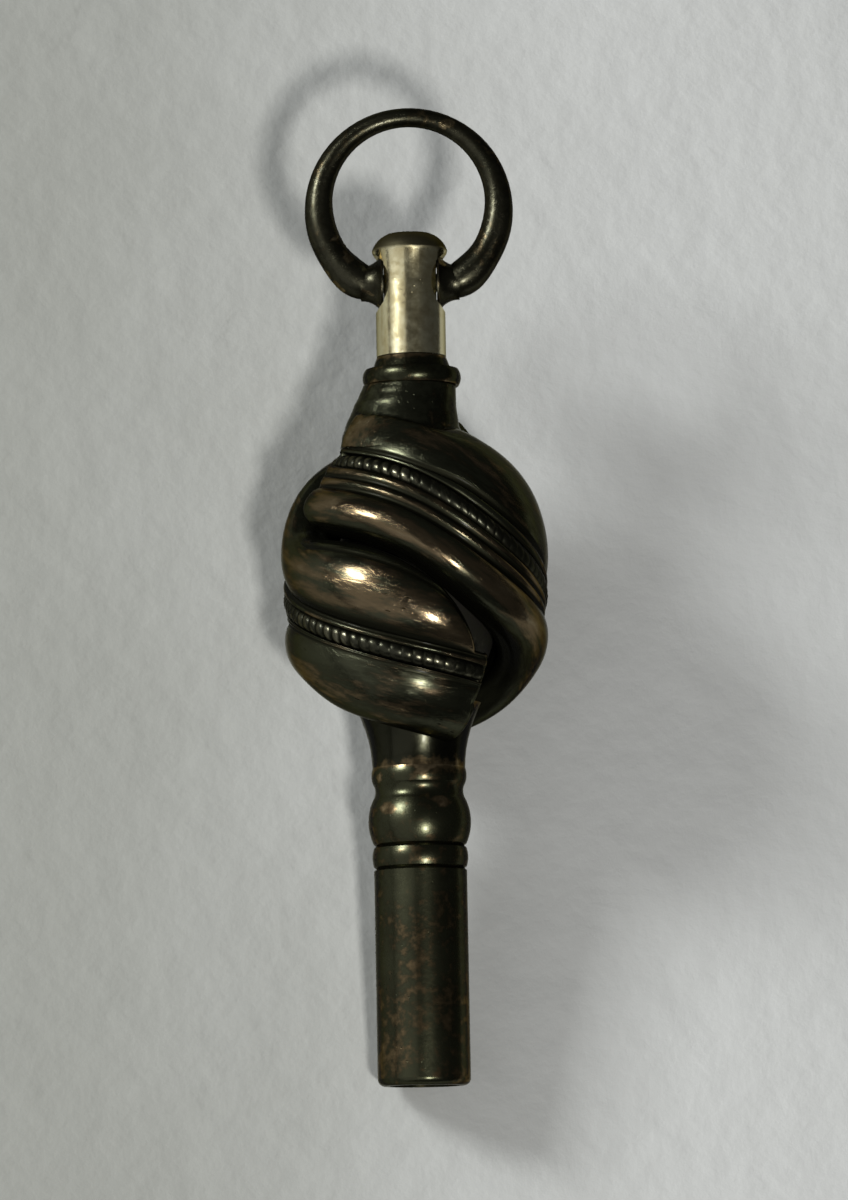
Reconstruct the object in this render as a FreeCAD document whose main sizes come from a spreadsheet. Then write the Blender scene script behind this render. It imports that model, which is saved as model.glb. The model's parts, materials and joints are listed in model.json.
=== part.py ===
import FreeCAD, Part
import math
import os
import Sketcher

Vector = FreeCAD.Vector

# A knot-shaped winding key with a swivelling bow, lying on its back as on a table.
# Every piece is drawn upright first: heights run from the mouth of the pipe (0) to the
# bow, X is to the right and the front of the key looks along -Y. The last step lays the
# whole key down, with its front up and its bow towards +Y.

doc = FreeCAD.newDocument("WindingKey")
sheet = doc.addObject("Spreadsheet::Sheet", "Sizes")

# Driving dimensions: millimetres, and degrees for what ends in _angle
SIZES = {
    # Pipe with its turned mouldings
    "pipe_diameter": 4.5,
    "pipe_length": 10.4,
    "mouth_round": 0.35,
    "liner_diameter": 3.3,
    "liner_length": 9.6,
    "liner_recess": 0.2,
    "socket_flats": 2.0,
    "socket_depth": 8.0,
    "solder_gap": 0.02,
    "moulding_groove_width": 0.2,
    "moulding_groove_depth": 0.12,
    "small_bead_height": 0.9,
    "small_bead_proud": 0.07,
    "big_bead_height": 2.15,
    "big_bead_proud": 0.24,
    "waist_height": 0.8,
    "waist_depth": 0.12,
    "flare_height": 0.75,
    "flare_proud": 0.06,
    # Stem, ferrule and former inside the knot
    "stem_diameter": 2.0,
    "stem_foot_depth": 2.6,
    "stem_head_height": 1.6,
    "ferrule_length": 3.1,
    "ferrule_top_diameter": 6.2,
    "ferrule_hollow_radius": 6.5,
    "former_end_diameter": 4.2,
    "former_gap": 0.06,
    # Knot: an egg-shaped envelope and two bands that wind down over it
    "knot_diameter": 13.5,
    "knot_height": 17.8,
    "knot_centre_height": 8.8,
    "roll_diameter": 2.6,
    "groove_depth": 0.45,
    "ridge_height": 0.2,
    "ridge_full_width": 0.5,
    "band_floor_width": 1.2,
    "band_start_height": 6.94,
    "steep_fall": 2.61,
    "gentle_fall": 10.12,
    "steep_fall_angle": 27.0,
    "steep_spread_angle": 32.4,
    "gentle_fall_angle": 91.7,
    "gentle_spread_angle": 107.3,
    "upper_inner_width": 0.88,
    "upper_inset": 0.55,
    "inset_start_angle": 18.0,
    "inset_end_angle": 100.0,
    "inset_spread_angle": 12.0,
    "upper_outer_width": 3.9,
    "start_crest_share": 0.66,
    "end_crest_share": 0.42,
    "shoulder_swell": 3.3,
    "swell_start_angle": 35.0,
    "swell_start_spread_angle": 15.0,
    "swell_end_angle": 95.0,
    "swell_end_spread_angle": 10.0,
    "crevice_width": 0.14,
    "crevice_angle": 112.0,
    "crevice_spread_angle": 8.0,
    "lower_inner_width": 1.75,
    "lower_inner_gain": 1.13,
    "lower_inner_angle": 85.0,
    "lower_inner_spread_angle": 20.0,
    "lower_outer_width": 3.85,
    "lower_swell": 1.1,
    "lower_swell_angle": 112.0,
    "lower_swell_spread_angle": 12.0,
    "lip_height": 0.25,
    "band_start_angle": -68.0,
    "start_cut_angle": -60.5,
    "start_cut_lean_angle": 8.0,
    "start_cut_thickness": 3.0,
    "start_nose_angle": 14.0,
    "band_end_angle": 219.0,
    "upper_end_angle": 10.0,
    "upper_nose_angle": 20.0,
    "lower_end_angle": 12.0,
    "lower_nose_angle": 22.0,
    "milled_wire_diameter": 0.7,
    "milled_wire_depth": 0.3,
    "milled_channel_gap": 0.05,
    "milled_wire_inset_angle": 3.0,
    # Neck and collar, with the swivel inside
    "neck_foot_height": 5.1,
    "neck_diameter": 4.3,
    "neck_height": 4.8,
    "skirt_height": 2.0,
    "skirt_rise": 2.8,
    "skirt_diameter": 6.5,
    "skirt_waist_diameter": 5.2,
    "skirt_lean": 0.47,
    "skirt_turn_angle": -80.0,
    "swivel_chamber_diameter": 3.4,
    "swivel_roof_thickness": 1.5,
    "collar_diameter": 4.8,
    "collar_bead_height": 0.8,
    "collar_bead_proud": 0.12,
    "collar_cone_height": 0.6,
    "swivel_clearance": 0.03,
    "swivel_end_play": 0.05,
    "spigot_diameter": 1.6,
    "rivet_diameter": 2.3,
    "rivet_height": 0.4,
    "washer_diameter": 3.0,
    "washer_thickness": 0.45,
    # Post and bow
    "post_diameter": 3.4,
    "post_height": 6.05,
    "rim_diameter": 3.7,
    "crown_height": 0.8,
    "crown_diameter": 2.2,
    "pivot_height": 3.65,
    "pivot_diameter": 0.9,
    "pivot_length": 0.95,
    "pivot_clearance": 0.03,
    "seat_diameter": 3.0,
    "seat_across": 2.56,
    "seat_clearance": 0.08,
    "bow_side_play": 0.03,
    "bow_diameter": 10.2,
    "bow_centre_height": 3.6,
    "bow_eye_diameter": 7.46,
    "bow_eye_shift": 0.42,
    "shoulder_rim_width": 0.1,
    "shoulder_length": 1.1,
    "shoulder_end_diameter": 1.7,
    # The key at rest is rolled a little to its left on its egg-shaped knot
    "resting_roll_angle": 15.0,
}
for row, (word, value) in enumerate(SIZES.items(), start=1):
    sheet.set("A%d" % row, word)
    sheet.set("B%d" % row, str(value))
    sheet.setAlias("B%d" % row, word)
doc.recompute()


def size(formula):
    """Value of a size, or of a formula in sizes."""
    return float(sheet.evalExpression(formula))


def bound(formula):
    """The formula with each size pointing at the sheet, for setExpression."""
    text = ""
    word = ""
    for sign in formula + " ":
        if sign.isalnum() or sign in "_.":
            word += sign
            continue
        text += "Sizes." + word if word in SIZES else word
        text += sign
        word = ""
    return text.strip()


def bulge(height, proud):
    """Formula for the arc radius of a moulding of this height that stands this proud."""
    return "((%s)^2 / 4 + (%s)^2) / (2 * (%s))" % (height, proud, proud)


def origin_plane(body, role):
    for feature in body.Origin.OriginFeatures:
        if feature.Role == role:
            return feature


def arc_middle(start, end, radius, hollow):
    """Middle of the arc from start to end, which bulges away from the key's axis."""
    chord = end - start
    half = chord.Length / 2
    rise = radius - math.sqrt(max(radius * radius - half * half, 0))
    outward = Vector(chord.y, -chord.x, 0).normalize()
    return (start + end) * 0.5 + outward * (-rise if hollow else rise)


def pin_point(sketch, edge, end, corner, radius, height):
    """Ties one end of an edge to a radius and a height given as formulas."""
    if abs(corner.x) < 1e-9:
        sketch.addConstraint(Sketcher.Constraint("PointOnObject", edge, end, -2))
    else:
        sketch.addConstraint(Sketcher.Constraint("DistanceX", -1, 1, edge, end, corner.x))
        sketch.setExpression("Constraints[%d]" % (sketch.ConstraintCount - 1), bound(radius))
    if abs(corner.y) < 1e-9:
        sketch.addConstraint(Sketcher.Constraint("PointOnObject", edge, end, -1))
    else:
        sketch.addConstraint(Sketcher.Constraint("DistanceY", -1, 1, edge, end, corner.y))
        sketch.setExpression("Constraints[%d]" % (sketch.ConstraintCount - 1), bound(height))


def turned(label, outline):
    """Body turned from an outline of (radius, height) or (radius, height, arc radius).

    The outline goes up on the outside and down on the inside. An arc radius belongs to
    the edge that leaves its point, and "hollow" after it turns the arc inwards.
    """
    body = doc.addObject("PartDesign::Body", label)
    sketch = body.newObject("Sketcher::SketchObject", label + "_outline")
    sketch.AttachmentSupport = [(origin_plane(body, "XZ_Plane"), "")]
    sketch.MapMode = "FlatFace"
    corners = [Vector(size(point[0]), size(point[1]), 0) for point in outline]
    first = []
    for i, point in enumerate(outline):
        start = corners[i]
        end = corners[(i + 1) % len(corners)]
        if len(point) > 2:
            middle = arc_middle(start, end, size(point[2]), "hollow" in point)
            forward = (middle - start).cross(end - start).z > 0
            if not forward:
                start, end = end, start
            sketch.addGeometry(Part.Arc(start, middle, end), False)
            first.append(1 if forward else 2)
        else:
            sketch.addGeometry(Part.LineSegment(start, end), False)
            first.append(1)
    for i in range(len(outline)):
        after = (i + 1) % len(outline)
        sketch.addConstraint(Sketcher.Constraint("Coincident", i, 3 - first[i], after, first[after]))
    for i, point in enumerate(outline):
        pin_point(sketch, i, first[i], corners[i], point[0], point[1])
        if len(point) > 2:
            sketch.addConstraint(Sketcher.Constraint("Radius", i, size(point[2])))
            sketch.setExpression("Constraints[%d]" % (sketch.ConstraintCount - 1), bound(point[2]))
    turning = body.newObject("PartDesign::Revolution", label + "_turning")
    turning.Profile = sketch
    turning.ReferenceAxis = (sketch, ["V_Axis"])
    turning.Angle = 360
    doc.recompute()
    return body


# Heights of the seats along the key, upwards from the mouth
first_groove = "pipe_length"
small_bead = first_groove + " + moulding_groove_width"
second_groove = small_bead + " + small_bead_height"
big_bead = second_groove + " + moulding_groove_width"
waist = big_bead + " + big_bead_height"
flare = waist + " + waist_height"
sleeve_top = flare + " + flare_height"
ferrule_top = sleeve_top + " + ferrule_length"
knot_centre = sleeve_top + " + knot_centre_height"
neck_foot = knot_centre + " + neck_foot_height"
skirt_rim = neck_foot + " + skirt_height"
neck_top = neck_foot + " + neck_height"
chamber_roof = neck_top + " - swivel_roof_thickness"
collar_bead_top = neck_top + " + collar_bead_height"
collar_top = collar_bead_top + " + collar_cone_height"
post_foot = collar_top + " + swivel_end_play"
post_top = post_foot + " + post_height"
rim_height = post_top + " - crown_height"
pivot = post_foot + " + pivot_height"

pipe_radius = "pipe_diameter / 2"
liner_bore = "liner_diameter / 2 + solder_gap"
stem_bore = "stem_diameter / 2 + solder_gap"
spigot_bore = "spigot_diameter / 2 + swivel_clearance"


def pipe_sleeve():
    """Brass pipe turned from the bar, with a small bead, a big bead and a flared top."""
    groove_radius = pipe_radius + " - moulding_groove_depth"
    half_groove = " + moulding_groove_width / 2"
    liner_floor = "liner_recess + liner_length"
    stem_floor = sleeve_top + " - stem_foot_depth"
    return turned("pipe_sleeve", [
        (liner_bore, "0"),
        (pipe_radius + " - mouth_round", "0", "mouth_round"),
        (pipe_radius, "mouth_round"),
        (pipe_radius, first_groove),
        (groove_radius, first_groove + half_groove),
        (pipe_radius, small_bead, bulge("small_bead_height", "small_bead_proud")),
        (pipe_radius, second_groove),
        (groove_radius, second_groove + half_groove),
        (pipe_radius, big_bead, bulge("big_bead_height", "big_bead_proud")),
        (pipe_radius, waist, bulge("waist_height", "waist_depth"), "hollow"),
        (pipe_radius, flare, bulge("flare_height", "flare_proud")),
        (pipe_radius, sleeve_top),
        (stem_bore, sleeve_top),
        (stem_bore, stem_floor),
        ("0", stem_floor),
        ("0", liner_floor),
        (liner_bore, liner_floor),
    ])


def square_liner():
    """Steel liner in the pipe, with the square socket that fits the winding square."""
    label = "square_liner"
    body = doc.addObject("PartDesign::Body", label)
    disc = body.newObject("Sketcher::SketchObject", label + "_disc")
    disc.AttachmentSupport = [(origin_plane(body, "XY_Plane"), "")]
    disc.MapMode = "FlatFace"
    disc.addGeometry(Part.Circle(Vector(0, 0, 0), Vector(0, 0, 1), size("liner_diameter / 2")), False)
    disc.addConstraint(Sketcher.Constraint("Coincident", 0, 3, -1, 1))
    disc.addConstraint(Sketcher.Constraint("Radius", 0, size("liner_diameter / 2")))
    disc.setExpression("Constraints[1]", bound("liner_diameter / 2"))
    bar = body.newObject("PartDesign::Pad", label + "_bar")
    bar.Profile = disc
    bar.setExpression("Length", bound("liner_length"))
    square = body.newObject("Sketcher::SketchObject", label + "_square")
    square.AttachmentSupport = [(origin_plane(body, "XY_Plane"), "")]
    square.MapMode = "FlatFace"
    half = size("socket_flats / 2")
    corners = [Vector(x * half, y * half, 0) for x, y in ((-1, -1), (1, -1), (1, 1), (-1, 1))]
    for i in range(4):
        square.addGeometry(Part.LineSegment(corners[i], corners[(i + 1) % 4]), False)
    for i in range(4):
        square.addConstraint(Sketcher.Constraint("Coincident", i, 2, (i + 1) % 4, 1))
    square.addConstraint(Sketcher.Constraint("Horizontal", 0))
    square.addConstraint(Sketcher.Constraint("Vertical", 1))
    square.addConstraint(Sketcher.Constraint("Equal", 0, 1))
    square.addConstraint(Sketcher.Constraint("Symmetric", 0, 1, 1, 2, -1, 1))
    square.addConstraint(Sketcher.Constraint("Distance", 0, size("socket_flats")))
    square.setExpression("Constraints[%d]" % (square.ConstraintCount - 1), bound("socket_flats"))
    socket = body.newObject("PartDesign::Pocket", label + "_socket")
    socket.Profile = square
    socket.Reversed = True
    socket.setExpression("Length", bound("socket_depth"))
    for sketch in (disc, square):
        sketch.setExpression("AttachmentOffset.Base.z", bound("liner_recess"))
    doc.recompute()
    return body


def knot_ferrule():
    """Flared ferrule between the pipe and the knot."""
    return turned("knot_ferrule", [
        (stem_bore, sleeve_top),
        (pipe_radius, sleeve_top, "ferrule_hollow_radius", "hollow"),
        ("ferrule_top_diameter / 2", ferrule_top),
        (stem_bore, ferrule_top),
    ])


def knot_former():
    """Egg-shaped former that fills the knot and backs both bands."""
    half_height = "(%s - (%s))" % (neck_foot, ferrule_top)
    middle = "(knot_diameter / 2 - roll_diameter - former_gap)"
    end = "former_end_diameter / 2"
    return turned("knot_former", [
        (stem_bore, ferrule_top),
        (end, ferrule_top, bulge(half_height, middle + " - " + end)),
        (end, neck_foot),
        (stem_bore, neck_foot),
    ])


def key_stem():
    """Steel stem from the pipe through the knot; its head carries the neck."""
    foot = sleeve_top + " - stem_foot_depth"
    head_radius = "swivel_chamber_diameter / 2 - solder_gap"
    head_top = neck_foot + " + stem_head_height"
    return turned("key_stem", [
        ("0", foot),
        ("stem_diameter / 2", foot),
        ("stem_diameter / 2", neck_foot),
        (head_radius, neck_foot),
        (head_radius, head_top),
        ("0", head_top),
    ])


# Hoops of the neck's skirt: share of its rise, diameter and share of its lean
SKIRT_HOOPS = [
    (0, "skirt_diameter", 0.55),
    (0.25, "(skirt_diameter + skirt_waist_diameter) / 2", 0.8),
    (0.5, "skirt_waist_diameter", 1.0),
    (0.75, "(skirt_waist_diameter + neck_diameter) / 2", 0.55),
    (1, "neck_diameter", 0.2),
]


def neck_cap():
    """Neck whose skirt leans out over the start of the front band, with the swivel chamber."""
    tube = turned("neck_turning", [
        ("swivel_chamber_diameter / 2", neck_foot),
        ("former_end_diameter / 2", neck_foot),
        ("former_end_diameter / 2", skirt_rim),
        ("neck_diameter / 2", skirt_rim),
        ("neck_diameter / 2", neck_top),
        (spigot_bore, neck_top),
        (spigot_bore, chamber_roof),
        ("swivel_chamber_diameter / 2", chamber_roof),
    ])
    turn = math.radians(size("skirt_turn_angle"))
    side = Vector(math.sin(turn), -math.cos(turn), 0) * size("skirt_lean")
    hoops = []
    for share, diameter, lean in SKIRT_HOOPS:
        centre = side * lean + Vector(0, 0, size(skirt_rim) + size("skirt_rise") * share)
        hoops.append(Part.Wire([Part.Circle(centre, Vector(0, 0, 1), size(diameter) / 2).toShape()]))
    skirt = Part.makeLoft(hoops, True, False)
    inside = Part.makeCylinder(size("(neck_diameter + former_end_diameter) / 4"), size("neck_height"),
                               Vector(0, 0, size(neck_foot)))
    feature = doc.addObject("Part::Feature", "neck_cap")
    feature.Shape = tube.Shape.fuse(skirt.cut(inside)).removeSplitter()
    return feature


def top_collar():
    """Collar ring with a rounded bead and a small cone under the post."""
    bead_foot = "collar_diameter / 2 - collar_bead_proud"
    cone_foot = "(neck_diameter + post_diameter) / 4"
    return turned("top_collar", [
        (spigot_bore, neck_top),
        (bead_foot, neck_top, bulge("collar_bead_height", "collar_bead_proud")),
        (bead_foot, collar_bead_top),
        (cone_foot, collar_bead_top),
        ("post_diameter / 2", collar_top),
        (spigot_bore, collar_top),
    ])


washer_top = chamber_roof + " - swivel_end_play"
washer_foot = washer_top + " - washer_thickness"


def swivel_washer():
    """Washer on the spigot, under the roof of the swivel chamber."""
    bore = "spigot_diameter / 2 + solder_gap"
    return turned("swivel_washer", [
        (bore, washer_foot),
        ("washer_diameter / 2", washer_foot),
        ("washer_diameter / 2", washer_top),
        (bore, washer_top),
    ])


def swivel_post():
    """Bright post with its spigot riveted inside the neck and two round seats for the bow."""
    rivet_foot = washer_foot + " - rivet_height"
    waist_top = rim_height + " - crown_height * 2"
    flank = turned("post_turning", [
        ("0", rivet_foot),
        ("rivet_diameter / 2", rivet_foot),
        ("rivet_diameter / 2", washer_foot),
        ("spigot_diameter / 2", washer_foot),
        ("spigot_diameter / 2", post_foot),
        ("post_diameter / 2", post_foot),
        ("post_diameter / 2", waist_top, "post_diameter * 3", "hollow"),
        ("rim_diameter / 2", rim_height, "crown_height * 1.6"),
        ("crown_diameter / 2", post_top),
        ("0", post_top),
    ])
    cutters = []
    for side in (-1, 1):
        seat = doc.addObject("Part::Cylinder", "seat_cutter")
        seat.setExpression("Radius", bound("seat_diameter / 2"))
        seat.setExpression("Height", bound("seat_diameter"))
        seat.Placement = FreeCAD.Placement(Vector(0, 0, 0), FreeCAD.Rotation(Vector(0, 1, 0), 90))
        start = "seat_across / 2" if side > 0 else "-seat_across / 2 - seat_diameter"
        seat.setExpression("Placement.Base.x", bound(start))
        seat.setExpression("Placement.Base.z", bound(pivot))
        cutters.append(seat)
    hole = doc.addObject("Part::Cylinder", "pivot_hole_cutter")
    hole.setExpression("Radius", bound("pivot_diameter / 2 + pivot_clearance"))
    hole.setExpression("Height", bound("rim_diameter * 2"))
    hole.Placement = FreeCAD.Placement(Vector(0, 0, 0), FreeCAD.Rotation(Vector(0, 1, 0), 90))
    hole.setExpression("Placement.Base.x", bound("-rim_diameter"))
    hole.setExpression("Placement.Base.z", bound(pivot))
    cutters.append(hole)
    tools = doc.addObject("Part::MultiFuse", "post_cutters")
    tools.Shapes = cutters
    post = doc.addObject("Part::Cut", "swivel_post")
    post.Base = flank
    post.Tool = tools
    doc.recompute()
    return post


def bow():
    """Round bow, thick at its shoulders, whose two pegs sit in the post's cross hole."""
    outer = size("bow_diameter / 2")
    inner = size("bow_eye_diameter / 2")
    shift = size("bow_eye_shift")
    middle = Vector(0, 0, size(pivot + " + bow_centre_height"))
    pivot_point = Vector(0, 0, size(pivot))
    shoulder_face = size("seat_across / 2 + bow_side_play")
    shoulder_end = shoulder_face + size("shoulder_length")
    end_radius = size("shoulder_end_diameter / 2")
    rim_radius = size("seat_diameter / 2 - seat_clearance")

    def ring_section(angle):
        """Circle of the wire where the ray at this angle from the top crosses the ring."""
        ray = Vector(math.sin(angle), 0, math.cos(angle))
        along = shift * math.cos(angle)
        across = shift * math.sin(angle)
        eye = along + math.sqrt(inner * inner - across * across)
        centre = middle + ray * ((outer + eye) / 2)
        tangent = Vector(math.cos(angle), 0, -math.sin(angle))
        return Part.Circle(centre, tangent, (outer - eye) / 2)

    last_angle = math.pi - math.asin((shoulder_end + end_radius / 2) / outer)
    steps = 14
    circles = [ring_section(last_angle * (2 * i / steps - 1)) for i in range(steps + 1)]
    tip = pivot_point + Vector(shoulder_end - end_radius / 2, 0, 0)
    circles.append(Part.Circle(tip, Vector(-1, 0, 0), end_radius * 0.9))
    tip = pivot_point - Vector(shoulder_end - end_radius / 2, 0, 0)
    circles.insert(0, Part.Circle(tip, Vector(-1, 0, 0), end_radius * 0.9))
    wires = [Part.Wire([circle.toShape()]) for circle in circles]
    ring = Part.makeLoft(wires, True, False)

    peg_tip = shoulder_face - size("pivot_length")
    peg_radius = size("pivot_diameter / 2")
    rim_end = shoulder_face + size("shoulder_rim_width")
    waist_point = Vector((rim_end * 2 + shoulder_end) / 3, 0, (rim_radius + end_radius * 2) / 3)
    solids = [ring]
    for side in (-1, 1):
        trumpet = Part.Wire([
            Part.LineSegment(Vector(peg_tip, 0, 0), Vector(peg_tip, 0, peg_radius)).toShape(),
            Part.LineSegment(Vector(peg_tip, 0, peg_radius),
                             Vector(shoulder_face, 0, peg_radius)).toShape(),
            Part.LineSegment(Vector(shoulder_face, 0, peg_radius),
                             Vector(shoulder_face, 0, rim_radius)).toShape(),
            Part.LineSegment(Vector(shoulder_face, 0, rim_radius),
                             Vector(rim_end, 0, rim_radius)).toShape(),
            Part.Arc(Vector(rim_end, 0, rim_radius), waist_point,
                     Vector(shoulder_end, 0, end_radius)).toShape(),
            Part.LineSegment(Vector(shoulder_end, 0, end_radius), Vector(shoulder_end, 0, 0)).toShape(),
            Part.LineSegment(Vector(shoulder_end, 0, 0), Vector(peg_tip, 0, 0)).toShape(),
        ])
        shoulder = Part.Face(trumpet).revolve(Vector(0, 0, 0), Vector(1, 0, 0), 360)
        if side < 0:
            shoulder = shoulder.rotated(Vector(0, 0, 0), Vector(0, 0, 1), 180)
        solids.append(shoulder.translated(pivot_point))
    feature = doc.addObject("Part::Feature", "bow")
    feature.Shape = solids[0].fuse(solids[1:]).removeSplitter()
    return feature


# Knot bands. A place on a band is an angle round the key, counted from the front to the
# right, an offset across the band, upwards from its middle, and a depth under the envelope.
knot_radius = size("knot_diameter / 2")
knot_half_height = size("knot_height / 2")
roll_radius = size("roll_diameter / 2")


def smooth_step(angle, middle, spread):
    return 0.5 * (1 + math.tanh((angle - size(middle)) / size(spread)))


def band_height(angle):
    """Height of the band's middle line above the middle of the knot."""
    steep = size("steep_fall") * smooth_step(angle, "steep_fall_angle", "steep_spread_angle")
    gentle = size("gentle_fall") * smooth_step(angle, "gentle_fall_angle", "gentle_spread_angle")
    return size("band_start_height") - steep - gentle


def arc_speed(turn):
    """Length along the envelope's outline for each radian of its parameter."""
    return math.hypot(knot_radius * math.cos(turn), knot_half_height * math.sin(turn))


def band_place(angle):
    """Parameter of the band's middle line on the outline, and the stretch of a slant cut."""
    turn = math.acos(band_height(angle) / knot_half_height)
    after = math.acos(band_height(angle + 1) / knot_half_height)
    slope = (after - turn) * arc_speed(turn) / math.radians(1) / (knot_radius * math.sin(turn))
    return turn, math.hypot(1, slope)


def band_point(angle, place, offset, depth):
    """Point of the band in the plane through the key's axis at this angle."""
    turn, stretch = place
    steps = 10
    for i in range(steps):
        turn -= offset * stretch / steps / arc_speed(turn)
    across = math.sin(turn) / knot_radius
    upwards = math.cos(turn) / knot_half_height
    length = math.hypot(across, upwards)
    radius = knot_radius * math.sin(turn) - depth * across / length
    height = knot_half_height * math.cos(turn) - depth * upwards / length
    around = math.radians(angle)
    return Vector(radius * math.sin(around), -radius * math.cos(around), size(knot_centre) + height)


def nose_share(distance, spread):
    """Share of the full roll that is left at this distance before its end."""
    share = max(0.0, min(1.0, distance / size(spread)))
    return max(0.08, math.sqrt(1 - (1 - share) ** 2))


def arc_between(upper, lower):
    """Length along the envelope's outline between two heights over the knot's middle."""
    start = math.acos(upper / knot_half_height)
    end = math.acos(lower / knot_half_height)
    steps = 12
    return sum(arc_speed(start + (end - start) * (i + 0.5) / steps) for i in range(steps)) * (end - start) / steps


def lower_roll(angle):
    """Offsets of the lower roll's inner edge, crest and outer edge, counted downwards."""
    gain = smooth_step(angle, "lower_inner_angle", "lower_inner_spread_angle")
    inner = size("lower_inner_width") - size("lower_inner_gain") * gain
    swell = smooth_step(angle, "lower_swell_angle", "lower_swell_spread_angle")
    outer = size("lower_outer_width") + size("lower_swell") * swell
    return inner, (inner + outer) / 2, outer


def upper_roll(angle):
    """Offsets of the upper roll's inner edge, crest and outer edge.

    The roll swells on the key's shoulder. Behind that its outer edge runs along the lower
    roll of the other band, which is half a turn ahead, with a narrow crevice in between.
    """
    inset = smooth_step(angle, "inset_start_angle", "inset_spread_angle")
    inset -= smooth_step(angle, "inset_end_angle", "inset_spread_angle")
    inner = size("upper_inner_width") + size("upper_inset") * inset
    swell = smooth_step(angle, "swell_start_angle", "swell_start_spread_angle")
    crest_share = size("start_crest_share") + (0.5 - size("start_crest_share")) * swell
    swell *= 1 - smooth_step(angle, "swell_end_angle", "swell_end_spread_angle")
    outer = size("upper_outer_width") + size("shoulder_swell") * swell
    other = max(angle - 180, size("start_cut_angle"))
    room = arc_between(band_height(other), band_height(other + 180))
    room -= lower_roll(other)[2] * band_place(other)[1]
    reach = room / band_place(other + 180)[1] - size("crevice_width") - size("lip_height")
    behind = smooth_step(angle, "crevice_angle", "crevice_spread_angle")
    outer += (reach - outer) * behind
    crest_share += (size("end_crest_share") - crest_share) * behind
    return inner, inner + (outer - inner) * crest_share, outer


def roll_outline(side, share, edges):
    """Rolled edge as three stretches: over its crest, round its lip, and underneath."""
    inner, crest, outer = edges
    thickness = roll_radius * share
    sunk = size("groove_depth") * (1 - share) + thickness
    groove_angle = math.pi - math.asin((roll_radius - size("groove_depth")) / roll_radius)
    inner_reach = (crest - inner) * share / -math.cos(groove_angle)
    outer_reach = (outer - crest) * share

    def place(angle, proud):
        reach = inner_reach if math.cos(angle) < 0 else outer_reach
        along = inner + (crest - inner) * share + (reach + proud) * math.cos(angle)
        return (side * along, sunk - (thickness + proud) * math.sin(angle))

    lip_start = math.radians(-10)
    lip_end = math.radians(-45)
    steps = 9
    over = [place(groove_angle + (lip_start - groove_angle) * i / steps, 0) for i in range(steps + 1)]
    lip = size("lip_height") * share
    edge = [place(lip_start, 0), place((lip_start + lip_end) / 2, lip), place(lip_end, 0)]
    under = [place(lip_end + (-math.pi / 2 - lip_end) * i / 3, 0) for i in range(4)]
    return [over, edge, under]


def ridge(side, start, end):
    """Fine ridge between two offsets on the floor of the band."""
    rise = size("ridge_height") * min(1, abs(end - start) / size("ridge_full_width"))
    floor = size("groove_depth")
    return [(side * start, floor), (side * (start + end) / 2, floor - rise), (side * end, floor)]


def band_outline(angle):
    """Stretches of the band's cross-section as lists of (offset, depth), in order."""
    groove = size("groove_depth")
    channel_radius = size("milled_wire_diameter / 2 + milled_channel_gap")
    channel_depth = size("milled_wire_depth + milled_wire_diameter / 2")
    tuck = math.asin((channel_depth - groove) / channel_radius)
    rim = channel_radius * math.cos(tuck)
    left = size("band_end_angle") - angle
    upper_share = nose_share(left - size("upper_end_angle"), "upper_nose_angle")
    lower_share = min(nose_share(angle - size("band_start_angle"), "start_nose_angle"),
                      nose_share(left - size("lower_end_angle"), "lower_nose_angle"))
    upper_edges = upper_roll(angle)
    lower_edges = lower_roll(angle)
    upper = roll_outline(1, upper_share, upper_edges)
    lower = roll_outline(-1, lower_share, lower_edges)
    channel = []
    for i in range(7):
        turn = -tuck + (math.pi + 2 * tuck) * i / 6
        channel.append((channel_radius * math.cos(turn), channel_depth + channel_radius * math.sin(turn)))
    above = upper_edges[0] - rim
    below = lower_edges[0] - rim
    upper_ridge = ridge(1, rim, rim + above * 0.8)
    near_ridge = ridge(-1, rim, rim + below * 0.42)
    far_ridge = ridge(-1, rim + below * 0.5, rim + below * 0.9)
    outline = [stretch[::-1] for stretch in reversed(upper)]
    outline += [
        [upper[0][0], upper_ridge[-1]],
        upper_ridge[::-1],
        channel,
        near_ridge,
        [near_ridge[-1], far_ridge[0]],
        far_ridge,
        [far_ridge[-1], lower[0][0]],
    ]
    outline += lower
    back = size("roll_diameter")
    half_floor = size("band_floor_width / 2")
    outline += [
        [lower[-1][-1], (-half_floor, back)],
        [(-half_floor, back), (half_floor, back)],
        [(half_floor, back), upper[-1][-1]],
    ]
    return outline


def band_section(angle):
    """Closed wire of the band's cross-section at this angle."""
    place = band_place(angle)
    edges = []
    for stretch in band_outline(angle):
        if len(stretch) == 2:
            half = tuple((a + b) / 2 for a, b in zip(*stretch))
            stretch = [stretch[0], half, stretch[1]]
        curve = Part.BSplineCurve()
        curve.interpolate([band_point(angle, place, offset, depth) for offset, depth in stretch])
        edges.append(curve.toShape())
    return Part.Wire(edges)


def angles_between(start, end):
    """Even angles from start to end, about ten degrees apart."""
    steps = round((end - start) / 10)
    return [start + (end - start) * i / steps for i in range(steps + 1)]


def start_cutter():
    """Block that trims the band's start along a plane which leans away from the neck."""
    angle = size("start_cut_angle")
    thickness = size("start_cut_thickness")
    block = Part.makeBox(knot_radius * 2, thickness, knot_half_height * 2,
                         Vector(0, -thickness, -knot_half_height))
    block.rotate(Vector(0, 0, 0), Vector(1, 0, 0), -size("start_cut_lean_angle"))
    block.rotate(Vector(0, 0, 0), Vector(0, 0, 1), angle - 90)
    return block.translated(Vector(0, 0, size(knot_centre) + band_height(angle)))


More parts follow.
